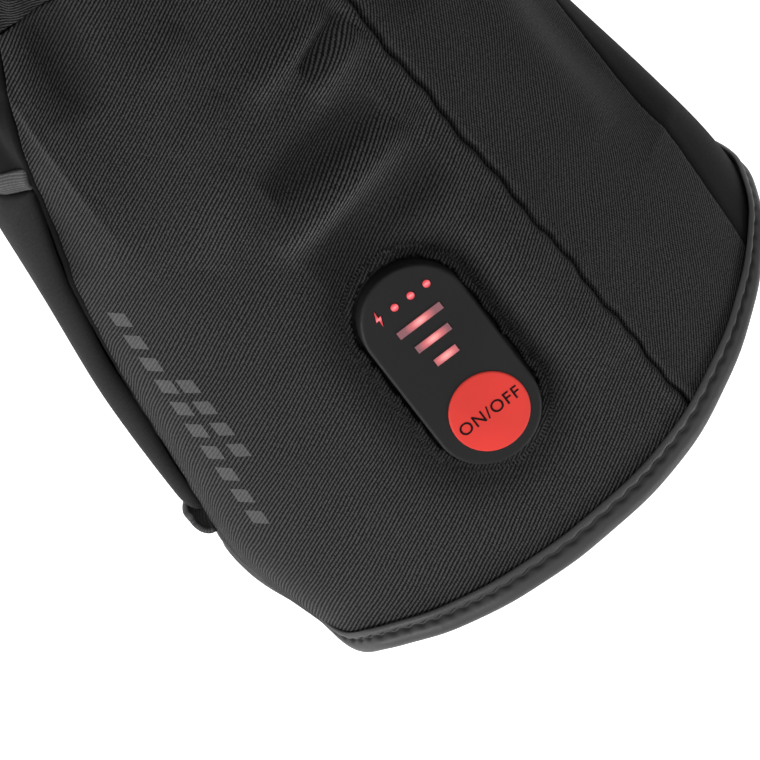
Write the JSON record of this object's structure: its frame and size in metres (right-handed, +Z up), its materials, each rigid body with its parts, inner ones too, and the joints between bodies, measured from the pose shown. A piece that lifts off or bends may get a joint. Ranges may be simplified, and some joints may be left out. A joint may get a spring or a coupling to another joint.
{
  "type": "heated glove",
  "caption": "Padded black glove with a flared cuff, a rolled hem and a long round-ended heating control on the back of the cuff.",
  "frame": {"origin": "on the surface that the glove lies on, under the middle of its outline", "axes": "+Y along the glove from the cuff's hem to the fingertips, +X across it away from the thumb, +Z up, out of the back of the hand"},
  "size_m": [0.1432, 0.3392, 0.0634],
  "materials": {
    "twill": "matte",
    "smooth_cloth": "satin",
    "binding": "satin",
    "grey_tape": "satin",
    "thread": "matte",
    "housing_rubber": "matte",
    "button_rubber": "satin",
    "lamp": "gloss"
  },
  "bodies": {
    "root": {"cuff_back": "twill", "cuff_side": "twill", "cuff_palm": "smooth_cloth", "hem_binding": "binding", "wrist_elastic": "twill", "battery_pocket": "smooth_cloth", "pocket_tape_hem": "grey_tape", "pocket_tape_wrist": "grey_tape", "hand_back": "twill", "hand_palm": "smooth_cloth", "finger_web": "twill", "index_back": "twill", "index_palm": "smooth_cloth", "middle_back": "twill", "middle_palm": "smooth_cloth", "ring_back": "twill", "ring_palm": "smooth_cloth", "little_back": "twill", "little_palm": "smooth_cloth", "thumb_back": "twill", "thumb_palm": "smooth_cloth", "control_rim": "thread", "control_housing": "housing_rubber", "power_button": "button_rubber", "charge_flash": "lamp", "level_dot_1": "lamp", "level_dot_2": "lamp", "level_dot_3": "lamp", "heat_bar_1": "lamp", "heat_bar_2": "lamp", "heat_bar_3": "lamp"}
  },
  "joints": []
}
